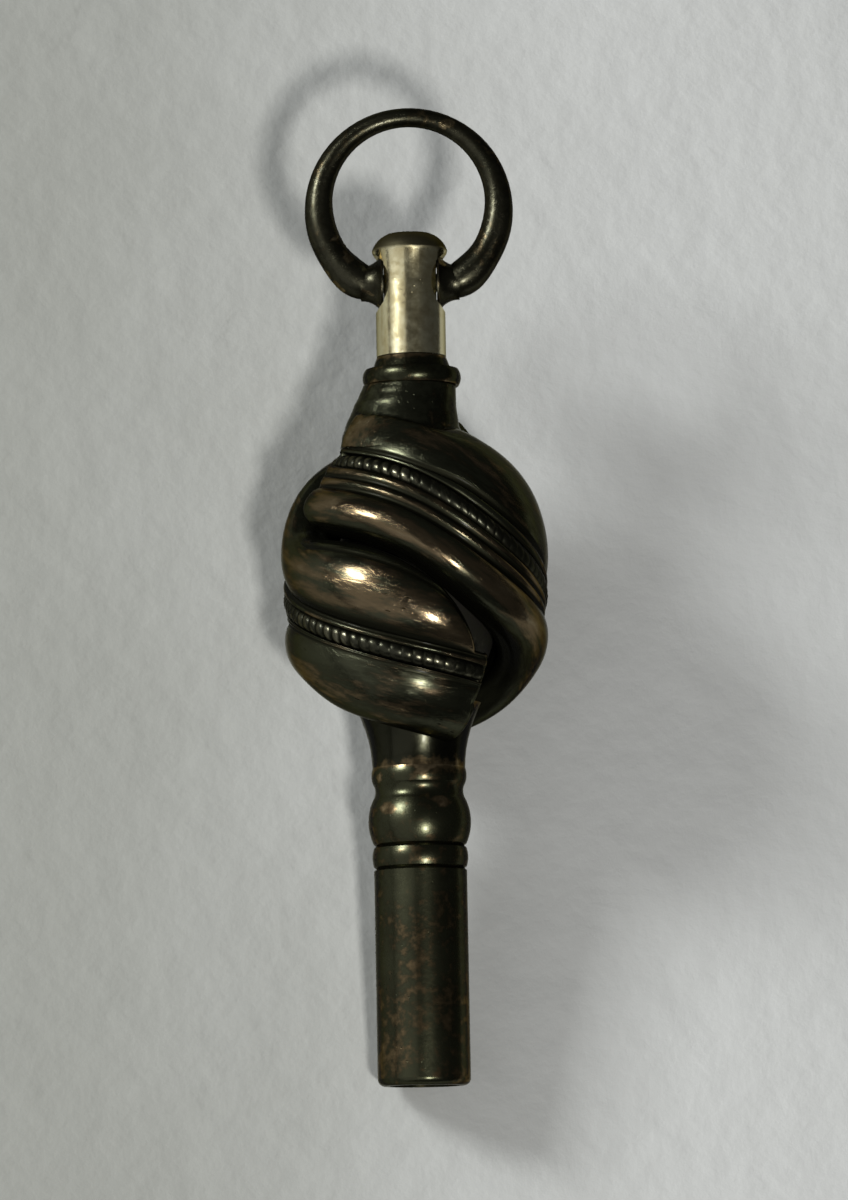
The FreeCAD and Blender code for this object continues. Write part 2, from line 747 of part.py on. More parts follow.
def knot_band():
    """Wide band with two rolled edges, open inside."""
    angles = angles_between(size("band_start_angle"), size("band_end_angle"))
    band = Part.makeLoft([band_section(angle) for angle in angles], True, False)
    foot = size(ferrule_top)
    inside = Part.makeCylinder(size("former_end_diameter / 2"), size(neck_top) - foot, Vector(0, 0, foot))
    return band.cut([start_cutter(), inside])


def milled_wire():
    """Round wire that lies in the channel along the middle of a band."""
    radius = size("milled_wire_diameter / 2")
    middle = size("milled_wire_depth") + radius
    inset = size("milled_wire_inset_angle")
    wires = []
    for angle in angles_between(size("start_cut_angle") + inset, size("band_end_angle") - inset):
        place = band_place(angle)
        edges = []
        for half_turn in (0, 180):
            corners = [math.radians(half_turn + 45 * i) for i in range(5)]
            curve = Part.BSplineCurve()
            curve.interpolate([band_point(angle, place, radius * math.cos(corner),
                                          middle + radius * math.sin(corner)) for corner in corners])
            edges.append(curve.toShape())
        wires.append(Part.Wire(edges))
    return Part.makeLoft(wires, True, False)


def front_and_back(label, shape, neighbours):
    """The same piece twice, the second one half a turn round the key, cut by its neighbours."""
    pair = []
    for side, turn in (("front_", 0), ("back_", 180)):
        feature = doc.addObject("Part::Feature", side + label)
        about = FreeCAD.Placement(Vector(0, 0, 0), FreeCAD.Rotation(Vector(0, 0, 1), turn))
        shape_there = shape.transformed(about.Matrix, True)
        if neighbours:
            shape_there = shape_there.cut([piece.Shape for piece in neighbours])
        feature.Shape = shape_there
        pair.append(feature)
    return pair


cap = neck_cap()
former = knot_former()
ferrule = knot_ferrule()
pieces = [pipe_sleeve(), square_liner(), ferrule, key_stem(), former, cap, top_collar(),
          swivel_post(), swivel_washer(), bow()]
pieces += front_and_back("band", knot_band(), [cap, former, ferrule])
pieces += front_and_back("milled_wire", milled_wire(), [])


def resting_angle(shapes):
    """Angle between the key and the table when its mouth and its knot both touch."""
    best = 0
    for shape in shapes:
        for point in shape.tessellate(0.02)[0]:
            down = rolled.multVec(point).y
            best = max(best, math.atan2(down - size(pipe_radius), point.z - size("mouth_round")))
    return math.degrees(best)


def far_corners(shapes):
    """Lowest and highest corner of the box round the shapes, measured on a fine mesh."""
    low = Vector(1e9, 1e9, 1e9)
    high = Vector(-1e9, -1e9, -1e9)
    for shape in shapes:
        for point in shape.tessellate(0.02)[0]:
            low = Vector(min(low.x, point.x), min(low.y, point.y), min(low.z, point.z))
            high = Vector(max(high.x, point.x), max(high.y, point.y), max(high.z, point.z))
    return low, high


rolled = FreeCAD.Rotation(Vector(0, 0, 1), -size("resting_roll_angle"))
lean = resting_angle([piece.Shape for piece in pieces if piece.Label.endswith("_band")])
laid = FreeCAD.Rotation(Vector(1, 0, 0), lean - 90).multiply(rolled)
for piece in pieces:
    piece.Placement = FreeCAD.Placement(Vector(0, 0, 0), laid)
doc.recompute()
low, high = far_corners([piece.Shape for piece in pieces])
shift = Vector(-(low.x + high.x) / 2, -(low.y + high.y) / 2, -low.z)
for piece in pieces:
    piece.Placement = FreeCAD.Placement(shift, laid)
doc.recompute()

for thing in doc.Objects:
    if "Invalid" in thing.State or "Error" in thing.State:
        raise RuntimeError("%s could not be built: %s" % (thing.Label, thing.State))
for piece in pieces:
    if piece.Shape.isNull() or not piece.Shape.isValid() or not piece.Shape.Solids:
        raise RuntimeError("%s has no valid solid" % piece.Label)

os.makedirs("parts", exist_ok=True)
for piece in pieces:
    piece.Shape.exportStep("parts/%s.step" % piece.Label)
    print("%-18s %d solids %8.2f mm3" % (piece.Label, len(piece.Shape.Solids), piece.Shape.Volume))
print("lean %.3f degrees, moved by %.3f %.3f %.3f" % (lean, shift.x, shift.y, shift.z))
for name, height in (("mouth", "0"), ("knot centre", knot_centre), ("pivot", pivot), ("post top", post_top)):
    place = FreeCAD.Placement(shift, laid).multVec(Vector(0, 0, size(height)))
    print("%-12s %.3f %.3f %.3f" % (name, place.x, place.y, place.z))
print("whole %.2f x %.2f x %.2f" % (high.x - low.x, high.y - low.y, high.z - low.z))
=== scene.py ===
import json
import math

import bmesh
import bpy
from mathutils import Matrix, Vector


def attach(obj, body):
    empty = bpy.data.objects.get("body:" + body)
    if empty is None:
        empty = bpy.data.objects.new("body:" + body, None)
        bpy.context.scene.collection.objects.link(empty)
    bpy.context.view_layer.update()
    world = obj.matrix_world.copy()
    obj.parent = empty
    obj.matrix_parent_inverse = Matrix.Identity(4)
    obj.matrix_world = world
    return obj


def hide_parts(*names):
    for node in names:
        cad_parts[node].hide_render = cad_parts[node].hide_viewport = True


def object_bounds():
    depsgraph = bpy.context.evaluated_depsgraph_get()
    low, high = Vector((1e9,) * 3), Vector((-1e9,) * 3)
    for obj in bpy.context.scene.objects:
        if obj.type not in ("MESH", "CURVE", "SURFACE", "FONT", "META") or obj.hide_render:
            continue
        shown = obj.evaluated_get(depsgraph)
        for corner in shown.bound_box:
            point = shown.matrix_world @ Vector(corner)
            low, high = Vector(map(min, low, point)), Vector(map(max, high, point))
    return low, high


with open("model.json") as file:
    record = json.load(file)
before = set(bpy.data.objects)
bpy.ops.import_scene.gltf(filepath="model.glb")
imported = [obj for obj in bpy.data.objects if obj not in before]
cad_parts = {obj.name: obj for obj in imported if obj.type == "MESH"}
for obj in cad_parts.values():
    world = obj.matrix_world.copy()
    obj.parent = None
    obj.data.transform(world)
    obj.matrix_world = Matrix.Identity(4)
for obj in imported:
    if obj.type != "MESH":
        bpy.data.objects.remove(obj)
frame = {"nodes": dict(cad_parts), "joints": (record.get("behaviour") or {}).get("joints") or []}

cad_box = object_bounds()

# Pipe with its mouldings: brass turned from the bar, with a small bead, a big bead and a
# flared top. It has gone nearly black, with brown showing where fingers rub it, and its
# mouth's edge is worn round. Everything else is placed along this pipe's axis.

mm = 0.001
PIVOT_ABOVE_MOUTH = 39.2 * mm
PIPE_PATINA = (0.042, 0.043, 0.025, 1)
PIPE_RUBBED = (0.105, 0.076, 0.040, 1)
PIPE_BRASS = (0.28, 0.21, 0.12, 1)
GRIME_SHADE_DARK = (0.010, 0.010, 0.006, 1)
EDGE_TINT = (0.34, 0.33, 0.26, 1)
CLOUD_SIZE = 2.6 * mm
BLOTCH_SIZE = 0.5 * mm
BLOTCH_WEIGHT = 1.6
RUBBED_LEVELS = (1.30, 1.66)
BARE_LEVELS = (1.62, 2.15)
STAIN_LEVELS = (0.16, 0.34)
STAIN_FADE = 0.25
HOLLOW_BREAK = 0.5
HOLLOW_LEVELS = (0.45, 1.0)
GRAIN_SIZE = 0.16 * mm
PIT_SPACING = 0.34 * mm
PIT_LEVELS = (0.16, 0.04)
PIT_PATCH_SIZE = 1.7 * mm
PIT_PATCH_LEVELS = (0.50, 0.66)
HAIRLINE_SIZE = 1.1 * mm
HAIRLINE_WIDTH = 0.014
BLOTCH_ROUGHNESS = 0.20
GRIME_SHADE_ROUGHNESS = 0.30
RUBBED_ROUGHNESS = -0.07
BLOTCH_RISE = 0.55
GRAIN_RISE = 0.16
PIT_RISE = -0.55
HAIRLINE_RISE = -0.03
FLAT_POINTINESS = 0.5
POINTINESS_GAIN = 2.0
EDGE_FROM = 0.02
EDGE_TILL = 0.20
EDGE_WEAR = 0.6
COAT_ROUGHNESS = 0.14

swivel_joint = next(joint for joint in frame["joints"] if joint["name"] == "bow_swivel")
swing_joint = next(joint for joint in frame["joints"] if joint["name"] == "bow_swing")
key_axis = Vector(swivel_joint["axis"]).normalized()
key_side = Vector(swing_joint["axis"]).normalized()
key_front = key_side.cross(key_axis)
pivot = Vector(swivel_joint["pos_m"])
mouth = pivot - key_axis * PIVOT_ABOVE_MOUTH


def on_key(side, front, height):
    """World point for a place to the side and front of the key's axis, at a height from the mouth."""
    return mouth + key_side * side + key_front * front + key_axis * height


def add_node(tree, kind, values=None, **settings):
    """Shader node with its settings, whose inputs are set to values or linked to sockets."""
    made = tree.nodes.new("ShaderNode" + kind)
    for word, value in settings.items():
        setattr(made, word, value)
    for socket, value in (values or {}).items():
        if isinstance(value, bpy.types.NodeSocket):
            tree.links.new(value, made.inputs[socket])
        else:
            made.inputs[socket].default_value = value
    return made


def calculate(tree, operation, *values):
    """Result of a math node on values or sockets."""
    return add_node(tree, "Math", dict(enumerate(values)), operation=operation).outputs[0]


def ramp(tree, value, low, high, to_low=0.0, to_high=1.0):
    """Value moved from one range to another, smoothly and clamped."""
    return add_node(tree, "MapRange", {"Value": value, "From Min": low, "From Max": high,
                                       "To Min": to_low, "To Max": to_high},
                    interpolation_type="SMOOTHSTEP").outputs["Result"]


def mix_colours(tree, share, first, second):
    """Mixed colour; sockets 6 and 7 take a mix node's two colours, and output 2 gives the result."""
    return add_node(tree, "Mix", {"Factor": share, 6: first, 7: second}, data_type="RGBA").outputs[2]


def speckle(tree, place, size, detail, roughness):
    """Noise whose spots are about this size in metres."""
    return add_node(tree, "TexNoise", {"Vector": place, "Scale": 1 / size, "Detail": detail,
                                       "Roughness": roughness}).outputs["Fac"]


def group_sockets(group, inputs, outputs):
    """Gives a node group its inputs and outputs, as pairs of name and kind."""
    for word, kind in inputs:
        group.interface.new_socket(name=word, in_out="INPUT", socket_type="NodeSocket" + kind)
    for word, kind in outputs:
        group.interface.new_socket(name=word, in_out="OUTPUT", socket_type="NodeSocket" + kind)


def aged_metal_group():
    """Old handled metal: dark patina rubbed through on what stands out, and a dark colour in what lies
    low: soiling and painted shade.
    """
    group = bpy.data.node_groups.new("aged_metal", "ShaderNodeTree")
    group_sockets(group,
                  [("Patina", "Color"), ("Rubbed", "Color"), ("Bare", "Color"), ("Grime_and_shade", "Color"),
                   ("Wear", "Float"), ("Hollow", "Float"), ("Gloss", "Float"), ("Place", "Vector")],
                  [("Colour", "Color"), ("Roughness", "Float"), ("Height", "Float")])
    given = group.nodes.new("NodeGroupInput").outputs
    place = given["Place"]
    clouds = speckle(group, place, CLOUD_SIZE, detail=3, roughness=0.5)
    blotches = speckle(group, place, BLOTCH_SIZE, detail=6, roughness=0.66)
    grain = speckle(group, place, GRAIN_SIZE, detail=3, roughness=0.6)
    cells = add_node(group, "TexVoronoi", {"Vector": place, "Scale": 1 / PIT_SPACING})
    pits = ramp(group, cells.outputs["Distance"], *PIT_LEVELS)
    patches = speckle(group, place, PIT_PATCH_SIZE, detail=2, roughness=0.5)
    pits = calculate(group, "MULTIPLY", pits, ramp(group, patches, *PIT_PATCH_LEVELS))
    hairlines = add_node(group, "TexNoise", {"Vector": place, "Scale": 1 / HAIRLINE_SIZE, "Detail": 8,
                                             "Roughness": 0.75, "Distortion": 2.5}).outputs["Fac"]
    hairlines = ramp(group, calculate(group, "SUBTRACT", hairlines, 0.5), 0.0, HAIRLINE_WIDTH, 1, 0)
    uneven = calculate(group, "MULTIPLY_ADD", blotches, BLOTCH_WEIGHT, given["Wear"])
    uneven = calculate(group, "ADD", clouds, uneven)
    rubbed = ramp(group, uneven, *RUBBED_LEVELS)
    bare = ramp(group, uneven, *BARE_LEVELS)
    stained = ramp(group, calculate(group, "MULTIPLY", clouds, blotches), *STAIN_LEVELS)
    ground = mix_colours(group, stained, given["Patina"], given["Grime_and_shade"])
    ground = mix_colours(group, STAIN_FADE, ground, given["Patina"])
    colour = mix_colours(group, rubbed, ground, given["Rubbed"])
    colour = mix_colours(group, bare, colour, given["Bare"])
    # Low places and marked flanks get the dark colour: soiling, and painted shade in the creases.
    hollow = calculate(group, "MULTIPLY_ADD", blotches, HOLLOW_BREAK, given["Hollow"])
    grime_shade_mask = calculate(group, "MAXIMUM", ramp(group, hollow, *HOLLOW_LEVELS), pits)
    colour = mix_colours(group, grime_shade_mask, colour, given["Grime_and_shade"])
    rough = given["Gloss"]
    for value, weight in ((blotches, BLOTCH_ROUGHNESS), (grime_shade_mask, GRIME_SHADE_ROUGHNESS),
                          (rubbed, RUBBED_ROUGHNESS)):
        rough = calculate(group, "MULTIPLY_ADD", value, weight, rough)
    height = calculate(group, "MULTIPLY", blotches, BLOTCH_RISE)
    for value, weight in ((grain, GRAIN_RISE), (pits, PIT_RISE), (hairlines, HAIRLINE_RISE)):
        height = calculate(group, "MULTIPLY_ADD", value, weight, height)
    result = group.nodes.new("NodeGroupOutput")
    group.links.new(colour, result.inputs["Colour"])
    group.links.new(rough, result.inputs["Roughness"])
    group.links.new(height, result.inputs["Height"])
    return group


def edge_group():
    """Masks from the shape itself: what stands out gets rubbed, what lies low gets soiling and painted
    shade.
    """
    group = bpy.data.node_groups.new("edges_and_hollows", "ShaderNodeTree")
    group_sockets(group, [], [("Edge", "Float"), ("Hollow", "Float")])
    point = add_node(group, "NewGeometry").outputs["Pointiness"]
    away = calculate(group, "SUBTRACT", point, FLAT_POINTINESS)
    away = calculate(group, "MULTIPLY", away, POINTINESS_GAIN)
    result = group.nodes.new("NodeGroupOutput")
    group.links.new(ramp(group, away, EDGE_FROM, EDGE_TILL), result.inputs["Edge"])
    group.links.new(ramp(group, away, -EDGE_FROM, -EDGE_TILL), result.inputs["Hollow"])
    return group


aged_metal = aged_metal_group()
edges_and_hollows = edge_group()


def shape_masks(tree):
    """Wear, hollow and place sockets from the shape itself."""
    shape = add_node(tree, "Group", node_tree=edges_and_hollows).outputs
    return shape["Edge"], shape["Hollow"], add_node(tree, "TexCoord").outputs["Object"]


def aged_material(name, colours, wear, gloss, bump, metallic, coat, masks=shape_masks):
    """Material of an aged metal piece; masks gives its wear, hollow and place sockets."""
    material = bpy.data.materials.new(name)
    material.use_nodes = True
    tree = material.node_tree
    shader = tree.nodes["Principled BSDF"]
    edge, hollow, place = masks(tree)
    worn = calculate(tree, "MULTIPLY_ADD", edge, EDGE_WEAR, wear)
    patina, rubbed, bare, grime_shade_colour = colours
    surface = add_node(tree, "Group", {"Patina": patina, "Rubbed": rubbed, "Bare": bare, "Grime_and_shade": grime_shade_colour,
                                       "Wear": worn, "Hollow": hollow, "Gloss": gloss, "Place": place},
                       node_tree=aged_metal)
    tree.links.new(surface.outputs["Colour"], shader.inputs["Base Color"])
    tree.links.new(surface.outputs["Roughness"], shader.inputs["Roughness"])
    relief = add_node(tree, "Bump", {"Height": surface.outputs["Height"], "Distance": bump,
                                     "Strength": 1.0})
    tree.links.new(relief.outputs["Normal"], shader.inputs["Normal"])
    shader.inputs["Metallic"].default_value = metallic
    shader.inputs["Specular Tint"].default_value = EDGE_TINT
    shader.inputs["Coat Weight"].default_value = coat
    shader.inputs["Coat Roughness"].default_value = COAT_ROUGHNESS
    return material


def finish_node(name, material):
    """Gives a CAD node its own material."""
    materials = frame["nodes"][name].data.materials
    materials.clear()
    materials.append(material)


pipe_metal = aged_material("pipe_patina", (PIPE_PATINA, PIPE_RUBBED, PIPE_BRASS, GRIME_SHADE_DARK),
                           wear=0.02, gloss=0.17, bump=0.012 * mm, metallic=0.95, coat=0.06)
finish_node("pipe_sleeve", pipe_metal)

# Liner in the pipe: a steel plug with the square socket that turns the winding square. Only
# its end shows, a little inside the mouth, dull and stained. The stem through the knot is of
# the same steel, out of view.

LINER_STEEL = (0.20, 0.20, 0.19, 1)
LINER_STAIN = (0.10, 0.075, 0.05, 1)
LINER_RUBBED = (0.34, 0.33, 0.31, 1)
liner_steel = aged_material("liner_steel", (LINER_STAIN, LINER_STEEL, LINER_RUBBED, GRIME_SHADE_DARK),
                            wear=0.15, gloss=0.36, bump=0.02 * mm, metallic=0.9, coat=0.0)
finish_node("square_liner", liner_steel)
finish_node("key_stem", liner_steel)

# Ferrule: turned brass, flared up to the knot and soldered on the pipe. It is darker than the
# pipe and hardly rubbed, since the knot's rolls keep fingers off it.

FERRULE_PATINA = (0.022, 0.022, 0.014, 1)
ferrule_metal = aged_material("ferrule_patina",
                              (FERRULE_PATINA, PIPE_RUBBED, PIPE_BRASS, GRIME_SHADE_DARK),
                              wear=-0.28, gloss=0.14, bump=0.012 * mm, metallic=0.95, coat=0.06)
finish_node("knot_ferrule", ferrule_metal)

# Former: the filling that both bands are wound on. It shows only as the dark gap between
# them at the lower right, dull and painted nearly black as painted shade in the gap, with dust in it.

FORMER_SHADE_BLACK = (0.010, 0.009, 0.008, 1)
FORMER_DUST = (0.030, 0.026, 0.020, 1)
former_painted_shade = aged_material("former_painted_shade",
                               (FORMER_SHADE_BLACK, FORMER_DUST, FORMER_DUST, GRIME_SHADE_DARK),
                               wear=-0.2, gloss=0.6, bump=0.06 * mm, metallic=0.1, coat=0.0)
finish_node("knot_former", former_painted_shade)

# Two bands of the knot: wide brass strips, each with a rolled edge above and below, three fine
# ridges and a channel between them, bent down round the egg-shaped knot. The rolls swell,
# narrow and end in rounded noses. The back band is the front one half a turn further round.

KNOT_RADIUS = 6.75 * mm
KNOT_HALF_HEIGHT = 8.9 * mm
KNOT_CENTRE = 24.2 * mm
BAND_START_HEIGHT = 6.94 * mm
STEEP_FALL = 2.61 * mm
STEEP_AT = (27.0, 32.4)
GENTLE_FALL = 10.12 * mm
GENTLE_AT = (91.7, 107.3)
ROLL_RADIUS = 1.3 * mm
GROOVE_DEPTH = 0.45 * mm
RIDGE_HEIGHT = 0.13 * mm
RIDGE_FULL_WIDTH = 0.5 * mm
RIDGE_WEAR = 0.3
UPPER_RIDGE = (0, 0.6)
LOWER_RIDGES = ((0, 0.42), (0.5, 0.9))
VALLEY_AT = 0.85
VALLEY_DEPTH = 0.22 * mm
UPPER_INNER = 0.88 * mm
UPPER_INSET = 0.55 * mm
INSET_START = (18, 12)
INSET_END = (100, 12)
UPPER_OUTER = 3.9 * mm
START_CREST_SHARE = 0.66
END_CREST_SHARE = 0.42
SHOULDER_SWELL = 3.3 * mm
SWELL_START = (35, 15)
SWELL_END = (95, 10)
CREVICE = 0.14 * mm
CREVICE_AT = (112, 8)
LOWER_INNER = 1.75 * mm
LOWER_INNER_GAIN = 1.13 * mm
LOWER_INNER_AT = (85, 20)
LOWER_OUTER = 3.85 * mm
LOWER_SWELL = 1.1 * mm
LOWER_SWELL_AT = (112, 12)
LIP = 0.25 * mm
LIP_FROM, LIP_TILL = -10, -45
GROOVE_SIDE, GROOVE_SIDE_SHIFT = 135, 30
CREVICE_SIDE = 42
LINE_AT, LINE_SPREAD = 42, 5
LINE_DEPTH = 0.10 * mm
BAND_START = -68
BAND_CUT = -60.5
BAND_CUT_LEAN = 8
CUT_LEAST_RADIUS = 2 * mm
START_NOSE = 14
BAND_END = 219
UPPER_END, UPPER_NOSE = 10, 20
LOWER_END, LOWER_NOSE = 0, 7
NOSE_LEAST = 0.08
HALF_FLOOR = 0.6 * mm
WIRE_RADIUS = 0.35 * mm
WIRE_WIDENING = 1.3
WIRE_DEPTH = 0.3 * mm
CHANNEL_GAP = 0.05 * mm
FADE_LENGTH = 1.6 * mm
FADE_POWER = 0.7
FADED_DEPTH = 0.24 * mm
FADED_SLOPE = 0.1
CUT_ROUND = 0.4 * mm
BAND_LENGTH = 30 * mm
BAND_STEPS = 360
END_CROWDING = 0.9
FLOW_SHARE = 0.25
FLOW_APART = 50 * mm
HANDLED_FROM = (100, 20)
HANDLED_TILL = (125, 20)
UPPER_LEAST_HANDLED = 0.6
LOWER_LEAST_HANDLED = 0.25
CREST_POWER = 5
CREST_WEAR_AND_GLINT = 0.7
KNOT_PATINA = (0.052, 0.054, 0.034, 1)
KNOT_COPPER = (0.128, 0.095, 0.055, 1)
KNOT_BRASS = (0.23, 0.19, 0.12, 1)


def step_up(angle, middle, spread):
    """Smooth step from 0 to 1 about a middle angle, over a spread, all in degrees."""
    return 0.5 * (1 + math.tanh((angle - middle) / spread))


def band_height(angle):
    """Height of a band's middle line above the middle of the knot."""
    steep = STEEP_FALL * step_up(angle, *STEEP_AT)
    gentle = GENTLE_FALL * step_up(angle, *GENTLE_AT)
    return BAND_START_HEIGHT - steep - gentle


def outline_speed(turn):
    """Length over the egg's outline for each radian of its parameter."""
    return math.hypot(KNOT_RADIUS * math.cos(turn), KNOT_HALF_HEIGHT * math.sin(turn))


def band_place(angle):
    """Parameter of the band's middle line on the egg, and the stretch of a slanted cut."""
    turn = math.acos(band_height(angle) / KNOT_HALF_HEIGHT)
    after = math.acos(band_height(angle + 1) / KNOT_HALF_HEIGHT)
    slope = (after - turn) * outline_speed(turn) / math.radians(1) / (KNOT_RADIUS * math.sin(turn))
    return turn, math.hypot(1, slope)


def band_point(angle, offset, depth):
    """Radius and height of a place on the band, by angle, offset upwards and depth in the egg."""
    turn, stretch = band_place(angle)
    steps = 8
    for i in range(steps):
        turn -= offset * stretch / steps / outline_speed(turn)
    across = math.sin(turn) / KNOT_RADIUS
    upwards = math.cos(turn) / KNOT_HALF_HEIGHT
    length = math.hypot(across, upwards)
    radius = KNOT_RADIUS * math.sin(turn) - depth * across / length
    height = KNOT_HALF_HEIGHT * math.cos(turn) - depth * upwards / length
    return radius, height


def knot_point(angle, offset, depth, half_turn):
    """World point of a place on the front band, or on the back band half a turn further."""
    radius, height = band_point(angle, offset, depth)
    around = math.radians(angle + 180 * half_turn)
    return on_key(radius * math.sin(around), radius * math.cos(around), KNOT_CENTRE + height)


def nose_share(distance, spread):
    """Share of a roll's full thickness at a distance from its end."""
    share = max(0.0, min(1.0, distance / spread))
    return max(NOSE_LEAST, math.sqrt(1 - (1 - share) ** 2))


def room_between(angle):
    """Length over the egg from the front band's middle line down to the back band's."""
    start = band_place(angle)[0]
    end = band_place(angle + 180)[0]
    steps = 12
    speeds = [outline_speed(start + (end - start) * (i + 0.5) / steps) for i in range(steps)]
    return sum(speeds) * (end - start) / steps


def lower_edges(angle):
    """Inner edge, crest and outer edge of the lower roll, counted downwards."""
    inner = LOWER_INNER - LOWER_INNER_GAIN * step_up(angle, *LOWER_INNER_AT)
    outer = LOWER_OUTER + LOWER_SWELL * step_up(angle, *LOWER_SWELL_AT)
    return inner, (inner + outer) / 2, outer


def upper_edges(angle):
    """The same of the upper roll, which swells on the shoulder and then follows the other band."""
    inner = UPPER_INNER + UPPER_INSET * (step_up(angle, *INSET_START) - step_up(angle, *INSET_END))
    swell = step_up(angle, *SWELL_START)
    crest_share = START_CREST_SHARE + (0.5 - START_CREST_SHARE) * swell
    outer = UPPER_OUTER + SHOULDER_SWELL * swell * (1 - step_up(angle, *SWELL_END))
    other = max(angle - 180, BAND_CUT)
    reach = room_between(other) - lower_edges(other)[2] * band_place(other)[1]
    reach = reach / band_place(other + 180)[1] - CREVICE - LIP
    behind = step_up(angle, *CREVICE_AT)
    outer += (reach - outer) * behind
    crest_share += (END_CREST_SHARE - crest_share) * behind
    return inner, inner + (outer - inner) * crest_share, outer


def roll_profile(side, share, edges, strip, handled):
    """Points (offset, depth, crest, hollow) over a rolled edge, from the groove to its underside."""
    inner, crest_at, outer = edges
    thickness = ROLL_RADIUS * share
    sunk = GROOVE_DEPTH * (1 - share) + thickness
    start = math.pi - math.asin((ROLL_RADIUS - GROOVE_DEPTH) / ROLL_RADIUS)
    inner_reach = (crest_at - inner) * share / -math.cos(start)
    outer_reach = (outer - crest_at) * share
    lip_start = math.radians(LIP_FROM)
    lip_end = math.radians(LIP_TILL)
    groove_side = math.radians(GROOVE_SIDE - GROOVE_SIDE_SHIFT * strip)
    crevice_side = math.radians(CREVICE_SIDE)
    line_at = math.radians(LINE_AT)
    line_spread = math.radians(LINE_SPREAD)
    steps = 48
    points = []
    for i in range(steps + 1):
        turn = start + (-math.pi / 2 - start) * i / steps
        proud = 0
        if lip_end < turn < lip_start:
            proud = LIP * share * math.sin(math.pi * (turn - lip_start) / (lip_end - lip_start))
        reach = inner_reach if math.cos(turn) < 0 else outer_reach
        along = inner + (crest_at - inner) * share + (reach + proud) * math.cos(turn)
        depth = sunk - (thickness + proud) * math.sin(turn)
        line = strip * math.exp(-((turn - line_at) / line_spread) ** 2)
        crest = handled * max(0.0, math.sin(turn)) ** CREST_POWER
        # The hollow mark darkens the flank by the groove, the flank under the other band's roll and the
        # thin line: soiling, and painted shade where the rolls shade each other.
        by_groove = (turn - groove_side) / (start - groove_side)
        by_crevice = (crevice_side - turn) / crevice_side
        hollow = max(0.0, min(1.0, max(by_groove, by_crevice, line)))
        points.append((side * along, depth + LINE_DEPTH * line, crest, hollow))
    return points


def ridge_profile(side, start, end):
    """Points over a fine ridge between two offsets on the floor of the band."""
    rise = RIDGE_HEIGHT * min(1, abs(end - start) / RIDGE_FULL_WIDTH)
    steps = 8
    points = []
    for i in range(steps + 1):
        up = math.sin(math.pi * i / steps)
        offset = start + (end - start) * i / steps
        points.append((side * offset, GROOVE_DEPTH - rise * up, RIDGE_WEAR * up * up, 1 - up))
    return points


def band_profile(angle, from_cut):
    """Points (offset, depth, crest, hollow) of the band's cross-section at this angle, all round."""
    channel_radius = WIRE_RADIUS + CHANNEL_GAP
    channel_depth = WIRE_DEPTH + WIRE_RADIUS
    tuck = math.asin((channel_depth - GROOVE_DEPTH) / channel_radius)
    rim = channel_radius * math.cos(tuck) * WIRE_WIDENING
    left = BAND_END - angle
    upper_share = nose_share(left - UPPER_END, UPPER_NOSE)
    lower_share = min(nose_share(angle - BAND_START, START_NOSE),
                      nose_share(left - LOWER_END, LOWER_NOSE))
    upper_at = upper_edges(angle)
    lower_at = lower_edges(angle)
    upper_handled = UPPER_LEAST_HANDLED + (1 - UPPER_LEAST_HANDLED) * step_up(angle, *HANDLED_FROM)
    lower_handled = 1 - (1 - LOWER_LEAST_HANDLED) * step_up(angle, *HANDLED_TILL)
    upper = roll_profile(1, upper_share, upper_at, step_up(angle, *CREVICE_AT), upper_handled)
    lower = roll_profile(-1, lower_share, lower_at, 0, lower_handled)
    above = upper_at[0] - rim
    below = lower_at[0] - rim
    valley = [(rim + above * VALLEY_AT, GROOVE_DEPTH + VALLEY_DEPTH, 0, 1)]
    channel_steps = 12
    channel = []
    for i in range(1, channel_steps):
        turn = -tuck + (math.pi + 2 * tuck) * i / channel_steps
        channel.append((channel_radius * math.cos(turn) * WIRE_WIDENING,
                        channel_depth + channel_radius * math.sin(turn), 0, 1))
    back = [(-HALF_FLOOR, ROLL_RADIUS * 2, 0, 1), (HALF_FLOOR, ROLL_RADIUS * 2, 0, 1)]
    low, high = UPPER_RIDGE
    upper_ridge = ridge_profile(1, rim + above * low, rim + above * high)
    lower_ridges = []
    for low, high in LOWER_RIDGES:
        lower_ridges += ridge_profile(-1, rim + below * low, rim + below * high)
    points = upper[::-1] + valley + upper_ridge[::-1] + channel + lower_ridges + lower + back
    plain = 1 - min(1.0, from_cut / FADE_LENGTH) ** FADE_POWER
    edge = max(0.0, 1 - from_cut / CUT_ROUND)
    sink = CUT_ROUND * (1 - math.sqrt(1 - edge * edge))
    finished = []
    for offset, depth, crest, hollow in points:
        if -LOWER_INNER < offset < upper_at[0] and depth < ROLL_RADIUS:
            smooth = FADED_DEPTH + FADED_SLOPE * abs(offset)
            depth += (min(smooth, GROOVE_DEPTH) - depth) * plain
        sunk = depth + sink * (depth < ROLL_RADIUS)
        finished.append((offset, sunk, crest * (1 - plain), hollow * (1 - plain)))
    return finished


def start_shift(radius, height):
    """Degrees by which the leaning cut at the band's start moves a point of its outline."""
    shift = (height - band_height(BAND_CUT)) * math.tan(math.radians(BAND_CUT_LEAN))
    return math.degrees(math.atan2(shift, max(radius, CUT_LEAST_RADIUS)))


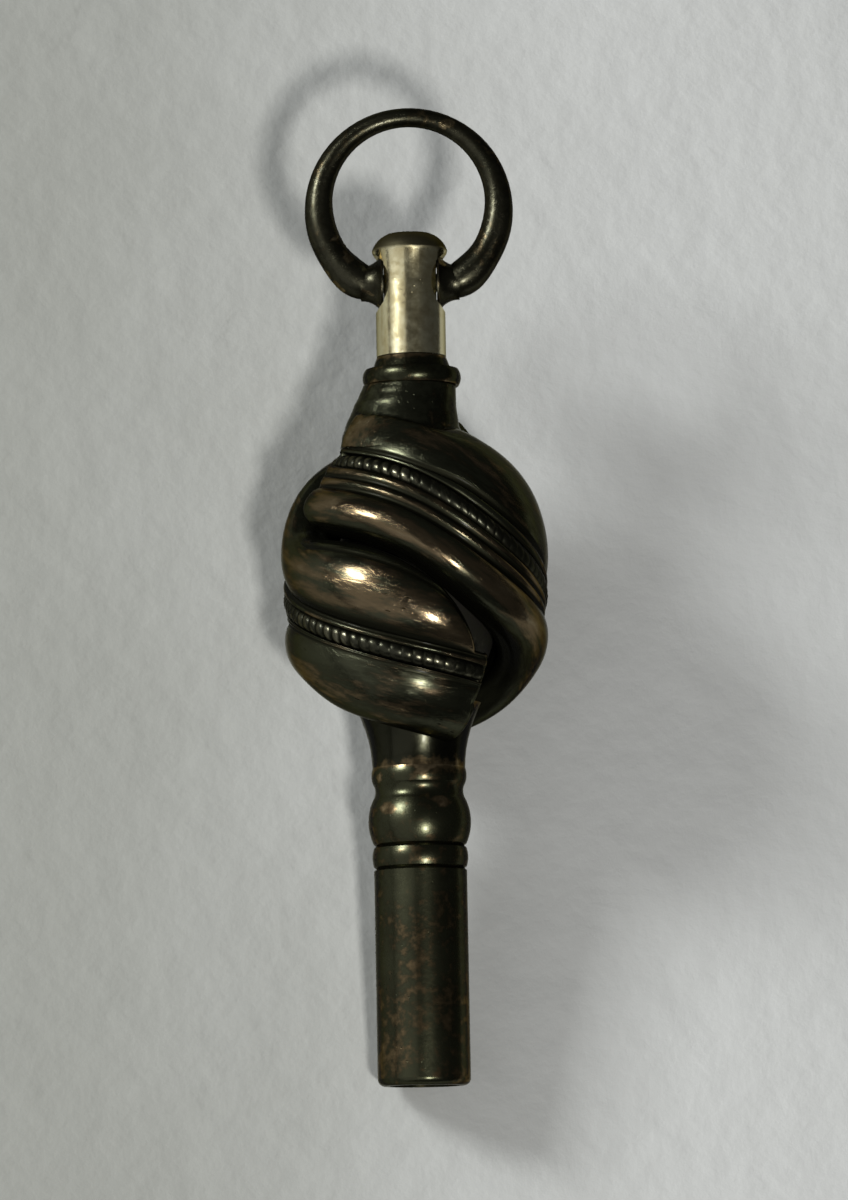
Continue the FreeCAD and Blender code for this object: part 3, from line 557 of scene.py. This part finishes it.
def grid_mesh(name, rows, attributes, closed_ends=True):
    """Mesh through rows of points, closed round each row, with attributes on its points.

    Without closed ends the last row lies on the first one, and both are joined.
    """
    mesh = bpy.data.meshes.new(name)
    width = len(rows[0])
    vertices = [point for row in rows for point in row]
    faces = []
    for i in range(len(rows) - 1):
        low = i * width
        high = low + width
        for j in range(width):
            after = (j + 1) % width
            faces.append((low + j, low + after, high + after, high + j))
    if closed_ends:
        faces.append(tuple(reversed(range(width))))
        faces.append(tuple(range((len(rows) - 1) * width, len(rows) * width)))
    mesh.from_pydata(vertices, [], faces)
    for word, values in attributes.items():
        if word == "flow":
            layer = mesh.attributes.new(word, "FLOAT_VECTOR", "POINT")
            layer.data.foreach_set("vector", [number for value in values for number in value])
        else:
            layer = mesh.attributes.new(word, "FLOAT", "POINT")
            layer.data.foreach_set("value", values)
    mesh.update()
    edit = bmesh.new()
    edit.from_mesh(mesh)
    if not closed_ends:
        bmesh.ops.remove_doubles(edit, verts=edit.verts, dist=0.0005 * mm)
    bmesh.ops.recalc_face_normals(edit, faces=edit.faces)
    edit.to_mesh(mesh)
    edit.free()
    for face in mesh.polygons:
        face.use_smooth = len(face.vertices) == 4
    piece = bpy.data.objects.new(name, mesh)
    bpy.context.scene.collection.objects.link(piece)
    return piece


def knot_band(name, half_turn):
    """One band, with its crests and hollows marked for the finish."""
    rows = []
    crests = []
    hollows = []
    flow = []
    for step in range(BAND_STEPS + 1):
        share = step / BAND_STEPS
        share -= END_CROWDING * math.sin(2 * math.pi * share) / (2 * math.pi)
        from_cut = BAND_LENGTH * min(share, 1 - share)
        row = []
        middle = BAND_CUT + (BAND_END - BAND_CUT) * share
        for offset, depth, crest, hollow in band_profile(middle, from_cut):
            shift = start_shift(*band_point(BAND_CUT, offset, depth))
            angle = BAND_CUT + shift + (BAND_END - BAND_CUT - shift) * share
            row.append(knot_point(angle, offset, depth, half_turn))
            crests.append(crest)
            hollows.append(hollow)
            flow.append((BAND_LENGTH * share * FLOW_SHARE, offset + FLOW_APART * half_turn, depth))
        rows.append(row)
    return grid_mesh(name, rows, {"crest": crests, "hollow": hollows, "flow": flow})


def marked_masks(tree):
    """Wear, hollow and place sockets from the marks on a mesh's points."""
    crest = add_node(tree, "Attribute", attribute_name="crest").outputs["Fac"]
    crest = calculate(tree, "MULTIPLY", crest, CREST_WEAR_AND_GLINT)
    hollow = add_node(tree, "Attribute", attribute_name="hollow").outputs["Fac"]
    return crest, hollow, add_node(tree, "Attribute", attribute_name="flow").outputs["Vector"]


knot_metal = aged_material("knot_patina", (KNOT_PATINA, KNOT_COPPER, KNOT_BRASS, GRIME_SHADE_DARK),
                           wear=-0.10, gloss=0.12, bump=0.035 * mm, metallic=0.95, coat=0.04,
                           masks=marked_masks)
for half_turn, side in ((0, "front"), (1, "back")):
    band = knot_band(side + "_knot_band", half_turn)
    band.data.materials.append(knot_metal)
    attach(band, "key")
    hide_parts(side + "_band")

# Milled wires: a round brass wire rolled between two knurled wheels, so that slanting beads
# run along it, and laid in each band's channel. The beads' tops are bright, rubbed and with a
# painted highlight where the beads stand out most, and the nicks between them and the wire's
# underside are black, with soiling and painted shade.

BEAD_PITCH = 0.52 * mm
BEAD_NICK = 0.07 * mm
BEAD_SLANT = -0.25
BEAD_END_DROP = 0.12 * mm
BEAD_RELIEF_AND_GLINT = ((-60, 0.4), (-30, 1.0), (-8, 0.9), (6, 0.35), (60, 0.3), (108, 0.6), (122, 1.0),
              (150, 1.0), (160, 0.45), (174, 0.4), (180, 0.9), (186, 0.5), (200, 0.3), (219, 0.3))
CURVE_ROUNDING = 0.4
NICK_POWER = 1.5
WIRE_TOP_CLEAN_AND_LIT = 0.9
BEAD_TOP_CLEAN_AND_LIT = 0.7
WIRE_INSET = 3
WIRE_SIDES = 16
WIRE_STEPS = 1150
WIRE_PATINA = (0.034, 0.034, 0.024, 1)
WIRE_RUBBED = (0.10, 0.095, 0.065, 1)
WIRE_BRASS = (0.34, 0.32, 0.24, 1)


def along_curve(curve, place):
    """Value at a place along a curve of (place, value) pairs, rounded a little at each pair."""
    for (low, first), (high, second) in zip(curve, curve[1:]):
        if place <= high:
            break
    share = max(0.0, min(1.0, (place - low) / (high - low)))
    share = share * share * (3 - 2 * share) * CURVE_ROUNDING + share * (1 - CURVE_ROUNDING)
    return first + (second - first) * share


def milled_wire(name, half_turn):
    """Beaded wire along the middle of a band."""
    rows = []
    crests = []
    hollows = []
    flow = []
    length = 0
    before = None
    start = BAND_CUT + WIRE_INSET
    end = BAND_END - WIRE_INSET
    for step in range(WIRE_STEPS + 1):
        angle = start + (end - start) * step / WIRE_STEPS
        middle = knot_point(angle, 0, WIRE_DEPTH + WIRE_RADIUS, half_turn)
        length += (middle - before).length if before else 0
        before = middle
        left = along_curve(BEAD_RELIEF_AND_GLINT, angle)
        sunk = BEAD_END_DROP * max(0.0, 1 - length / FADE_LENGTH)
        row = []
        for corner in range(WIRE_SIDES):
            turn = 2 * math.pi * corner / WIRE_SIDES
            phase = math.pi * length / BEAD_PITCH + BEAD_SLANT * math.cos(turn)
            nick = (1 - abs(math.sin(phase))) ** NICK_POWER * left
            radius = WIRE_RADIUS - BEAD_NICK * nick
            offset = radius * math.cos(turn)
            rise = radius * math.sin(turn)
            row.append(knot_point(angle, offset * WIRE_WIDENING, WIRE_DEPTH + WIRE_RADIUS - rise + sunk,
                                  half_turn))
            # Bead tops get the rubbed colour most where the beads stand out most, wear and a painted
            # highlight; nicks and the underside get the dark colour, soiling and painted shade.
            upwards = max(0.0, math.sin(turn))
            crests.append((1 - nick) ** 2 * upwards * left)
            hollows.append(max(nick, 1 - upwards * (WIRE_TOP_CLEAN_AND_LIT + BEAD_TOP_CLEAN_AND_LIT * left)))
            flow.append((length, offset + FLOW_APART * half_turn, rise))
        rows.append(row)
    return grid_mesh(name, rows, {"crest": crests, "hollow": hollows, "flow": flow})


wire_metal = aged_material("milled_wire_brass", (WIRE_PATINA, WIRE_RUBBED, WIRE_BRASS, GRIME_SHADE_DARK),
                           wear=-0.15, gloss=0.20, bump=0.01 * mm, metallic=0.95, coat=0.04,
                           masks=marked_masks)
for half_turn, side in ((0, "front"), (1, "back")):
    wire = milled_wire(side + "_beaded_wire", half_turn)
    wire.data.materials.append(wire_metal)
    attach(wire, "key")
    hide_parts(side + "_milled_wire")

# Neck and collar: turned brass, soldered over the start of both bands. The neck leans to the
# left and its skirt was filed and rubbed till it flowed into the bands' upper rolls without a
# seam. The collar's disc is nearly black.

NECK_RIM = 30.7 * mm
NECK_TOP = 34.1 * mm
NECK_FOOT = 29.3 * mm
CHAMBER_ROOF = 32.6 * mm
CHAMBER_RADIUS = 1.7 * mm
NECK_BORE = 0.83 * mm
NECK_TENON = 2.1 * mm
NECK_LEFT = ((30.5, 3.60), (31.1, 3.54), (31.6, 3.46), (32.1, 3.30), (33.1, 2.88), (33.6, 2.62),
             (34.1, 2.40))
NECK_RIGHT = ((30.5, 3.10), (31.1, 2.80), (31.6, 2.48), (32.1, 2.26), (33.1, 2.14), (33.6, 2.14),
              (34.1, 2.14))
NECK_LEAN = -80
NECK_BLEND = 1.3 * mm
NECK_SINK = 0.06 * mm
NECK_SINK_RATE = 1.5
NECK_BAND_END = 130
NECK_SIDES = 180
NECK_HOOPS = 44


def neck_radius(azimuth, height):
    """Radius of the leaning neck on its own, without the bands."""
    left = along_curve(NECK_LEFT, height / mm) * mm
    right = along_curve(NECK_RIGHT, height / mm) * mm
    lean = (left - right) / 2
    turn = math.radians(azimuth - NECK_LEAN)
    return lean * math.cos(turn) + math.sqrt(((left + right) / 2) ** 2 - (lean * math.sin(turn)) ** 2)


def band_lines(azimuth):
    """Outlines (radius, height) of the bands' upper rolls in the half plane at this azimuth."""
    lines = []
    for own in (azimuth, azimuth - 180, azimuth + 180):
        if BAND_CUT <= own <= NECK_BAND_END:
            profile = [point for point in band_profile(own, FADE_LENGTH) if point[0] > UPPER_INNER]
            lines.append([band_point(own, offset, depth) for offset, depth, crest, hollow in profile])
    return lines


def band_radius(lines, height):
    """Largest radius of the bands' outlines at this height, or zero."""
    best = 0.0
    for line in lines:
        for (r1, h1), (r2, h2) in zip(line, line[1:]):
            if (h1 - height) * (h2 - height) <= 0 and h1 != h2:
                best = max(best, r1 + (r2 - r1) * (height - h1) / (h2 - h1))
    return best


def neck_piece():
    """Tube of the neck, whose skirt is blended into the bands."""
    rows = []
    crests = []
    for side in range(NECK_SIDES + 1):
        azimuth = -180 + 360 * side / NECK_SIDES
        lines = band_lines(azimuth)
        outline = [(CHAMBER_RADIUS, NECK_FOOT, 0), (NECK_TENON, NECK_FOOT, 0),
                   (NECK_TENON, NECK_RIM, 0)]
        for hoop in range(NECK_HOOPS + 1):
            height = NECK_RIM + (NECK_TOP - NECK_RIM) * hoop / NECK_HOOPS
            alone = neck_radius(azimuth, height)
            roll = band_radius(lines, height - KNOT_CENTRE)
            near = max(0.0, NECK_BLEND - abs(alone - roll)) / NECK_BLEND
            radius = max(alone, roll) + near * near * NECK_BLEND / 4
            radius -= NECK_SINK * max(0.0, min(1.0, (roll - alone) / NECK_BLEND * NECK_SINK_RATE))
            outline.append((radius, height, near))
        outline += [(NECK_BORE, NECK_TOP, 0), (NECK_BORE, CHAMBER_ROOF, 0),
                    (CHAMBER_RADIUS, CHAMBER_ROOF, 0)]
        around = math.radians(azimuth)
        rows.append([on_key(radius * math.sin(around), radius * math.cos(around), height)
                     for radius, height, crest in outline])
        crests += [crest for radius, height, crest in outline]
    hollows = [0.0] * len(crests)
    flow = [tuple(point) for row in rows for point in row]
    return grid_mesh("flowing_neck", rows, {"crest": crests, "hollow": hollows, "flow": flow},
                     closed_ends=False)


neck = neck_piece()
neck.data.materials.append(knot_metal)
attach(neck, "key")
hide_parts("neck_cap")
collar_metal = aged_material("collar_patina", (PIPE_PATINA, PIPE_RUBBED, PIPE_BRASS, GRIME_SHADE_DARK),
                             wear=-0.16, gloss=0.16, bump=0.02 * mm, metallic=0.95, coat=0.04)
finish_node("top_collar", collar_metal)

# Post: pale brass turned bright and kept bright by the bow that rubs it, with brown tarnish
# and painted shade at its foot and round the two seats, and its crown is dark. The washer under
# it is of the same metal.

CROWN_START = 40.4 * mm
CROWN_END = 41.1 * mm
POST_TARNISH = (0.22, 0.17, 0.085, 1)
POST_BRASS = (0.60, 0.52, 0.30, 1)
POST_BRIGHT = (0.72, 0.66, 0.43, 1)
POST_GRIME_AND_SHADE = (0.07, 0.062, 0.036, 1)


def post_masks(tree):
    """Wear, hollow and place sockets of the post, with its crown darkened as well."""
    edge, hollow, place = shape_masks(tree)
    along = add_node(tree, "VectorMath", {0: place, 1: key_axis}, operation="DOT_PRODUCT")
    mouth_at = mouth.dot(key_axis)
    crown = ramp(tree, along.outputs["Value"], mouth_at + CROWN_START, mouth_at + CROWN_END)
    return edge, calculate(tree, "MAXIMUM", hollow, crown), place


post_brass = aged_material("post_bright_brass", (POST_TARNISH, POST_BRASS, POST_BRIGHT, POST_GRIME_AND_SHADE),
                           wear=0.42, gloss=0.17, bump=0.008 * mm, metallic=1.0, coat=0.0,
                           masks=post_masks)
finish_node("swivel_post", post_brass)
finish_node("swivel_washer", post_brass)

# Bow: a forged ring, thick at the two shoulders that sit in the post's seats. It is
# brown-black, with a few places rubbed through to the metal.

BOW_DARK = (0.040, 0.038, 0.025, 1)
BOW_RUBBED = (0.080, 0.062, 0.034, 1)
BOW_BARE = (0.26, 0.21, 0.12, 1)
bow_metal = aged_material("bow_dark_metal", (BOW_DARK, BOW_RUBBED, BOW_BARE, GRIME_SHADE_DARK),
                          wear=-0.12, gloss=0.19, bump=0.03 * mm, metallic=0.95, coat=0.04)
finish_node("bow", bow_metal)

# Paper under the key: a pale grey sheet with a soft fibrous surface, a little darker to the
# left as painted shade, and far wider than the view.

PAPER_HALF_WIDTH = 160 * mm
PAPER_LIGHT = (0.495, 0.503, 0.498, 1)
PAPER_SHADE = (0.285, 0.290, 0.270, 1)
SHADE_FROM = -14 * mm
SHADE_TILL = 24 * mm
SHADE_DRIFT = 14 * mm
DRIFT_SIZE = 16 * mm
FIBRE_SIZE = 1.8 * mm
DRIFT_RISE = 3.0
PAPER_RELIEF = 0.15 * mm

paper_mesh = bpy.data.meshes.new("paper_sheet")
sheet_low = cad_box[0][2]
edit = bmesh.new()
corners = [edit.verts.new((x * PAPER_HALF_WIDTH, y * PAPER_HALF_WIDTH, sheet_low))
           for x, y in ((-1, -1), (1, -1), (1, 1), (-1, 1))]
edit.faces.new(corners)
edit.to_mesh(paper_mesh)
edit.free()
paper = bpy.data.objects.new("paper_sheet", paper_mesh)
bpy.context.scene.collection.objects.link(paper)
paper_look = bpy.data.materials.new("paper_fibre")
paper_look.use_nodes = True
tree = paper_look.node_tree
shader = tree.nodes["Principled BSDF"]
place = add_node(tree, "TexCoord").outputs["Object"]
fibres = speckle(tree, place, FIBRE_SIZE, detail=6, roughness=0.5)
drift = speckle(tree, place, DRIFT_SIZE, detail=2, roughness=0.5)
across = add_node(tree, "SeparateXYZ", {"Vector": place}).outputs["X"]
across = calculate(tree, "MULTIPLY_ADD", drift, SHADE_DRIFT, across)
tone = mix_colours(tree, ramp(tree, across, SHADE_FROM, SHADE_TILL), PAPER_SHADE, PAPER_LIGHT)
tree.links.new(tone, shader.inputs["Base Color"])
waves = calculate(tree, "MULTIPLY_ADD", drift, DRIFT_RISE, fibres)
relief = add_node(tree, "Bump", {"Height": waves, "Strength": 1.0, "Distance": PAPER_RELIEF})
tree.links.new(relief.outputs["Normal"], shader.inputs["Normal"])
shader.inputs["Roughness"].default_value = 0.85
paper_mesh.materials.append(paper_look)

# Light: a window on the left, which draws the pale streaks on every form, the wide pale wall
# beside it, and a small lamp above the mouth's end, which throws the ring's shadow upwards.

ROOM_COLOUR = (0.62, 0.65, 0.68, 1)
ROOM_STRENGTH = 0.07


def soft_light(name, direction, distance, size, power, tint):
    """Rectangular lamp that looks at the middle of the key from a direction."""
    lamp = bpy.data.lights.new(name, "AREA")
    lamp.shape = "RECTANGLE"
    lamp.size, lamp.size_y = size
    lamp.energy = power
    lamp.color = tint
    light = bpy.data.objects.new(name, lamp)
    towards = Vector(direction).normalized()
    light.location = on_key(0, 0, KNOT_CENTRE) + towards * distance
    light.rotation_euler = towards.to_track_quat("Z", "Y").to_euler()
    bpy.context.scene.collection.objects.link(light)


soft_light("window_left", direction=(-0.80, 0.35, 0.48), distance=0.45, size=(0.11, 0.12),
           power=1.85, tint=(0.98, 1.0, 0.99))
soft_light("wall_left", direction=(-0.80, -0.12, 0.50), distance=0.60, size=(1.20, 0.60),
           power=1.3, tint=(1.0, 1.0, 0.98))
soft_light("lamp_above", direction=(-0.03, -0.51, 0.86), distance=0.60, size=(0.06, 0.06),
           power=2.3, tint=(1.0, 0.99, 0.96))

world = bpy.data.worlds.new("room")
bpy.context.scene.world = world
world.use_nodes = True
background = world.node_tree.nodes["Background"]
background.inputs["Color"].default_value = ROOM_COLOUR
background.inputs["Strength"].default_value = ROOM_STRENGTH

# Camera: above the key, a little towards the mouth, turned so that the bow leans left.

VIEW_TILT = math.radians(6.4)
VIEW_ROLL = math.radians(1.04)
VIEW_DISTANCE = 0.32
VIEW_HEIGHT = 58.4 * mm
SENSOR = 36.0
FRAME_MIDDLE = on_key(0.40 * mm, 0, 23.60 * mm)

camera_data = bpy.data.cameras.new("view")
camera_data.sensor_fit = "VERTICAL"
camera_data.sensor_height = SENSOR
camera_data.lens = SENSOR * VIEW_DISTANCE / VIEW_HEIGHT
camera_data.clip_start = 0.01
camera = bpy.data.objects.new("view", camera_data)
backwards = key_front * math.cos(VIEW_TILT) - key_axis * math.sin(VIEW_TILT)
upright = key_axis * math.cos(VIEW_TILT) + key_front * math.sin(VIEW_TILT)
up = upright * math.cos(VIEW_ROLL) + key_side * math.sin(VIEW_ROLL)
right = up.cross(backwards)
turned = Matrix((right, up, backwards)).transposed().to_4x4()
camera.matrix_world = Matrix.Translation(FRAME_MIDDLE + backwards * VIEW_DISTANCE) @ turned
bpy.context.scene.collection.objects.link(camera)
bpy.context.scene.camera = camera
bpy.context.scene.view_settings.view_transform = "Standard"
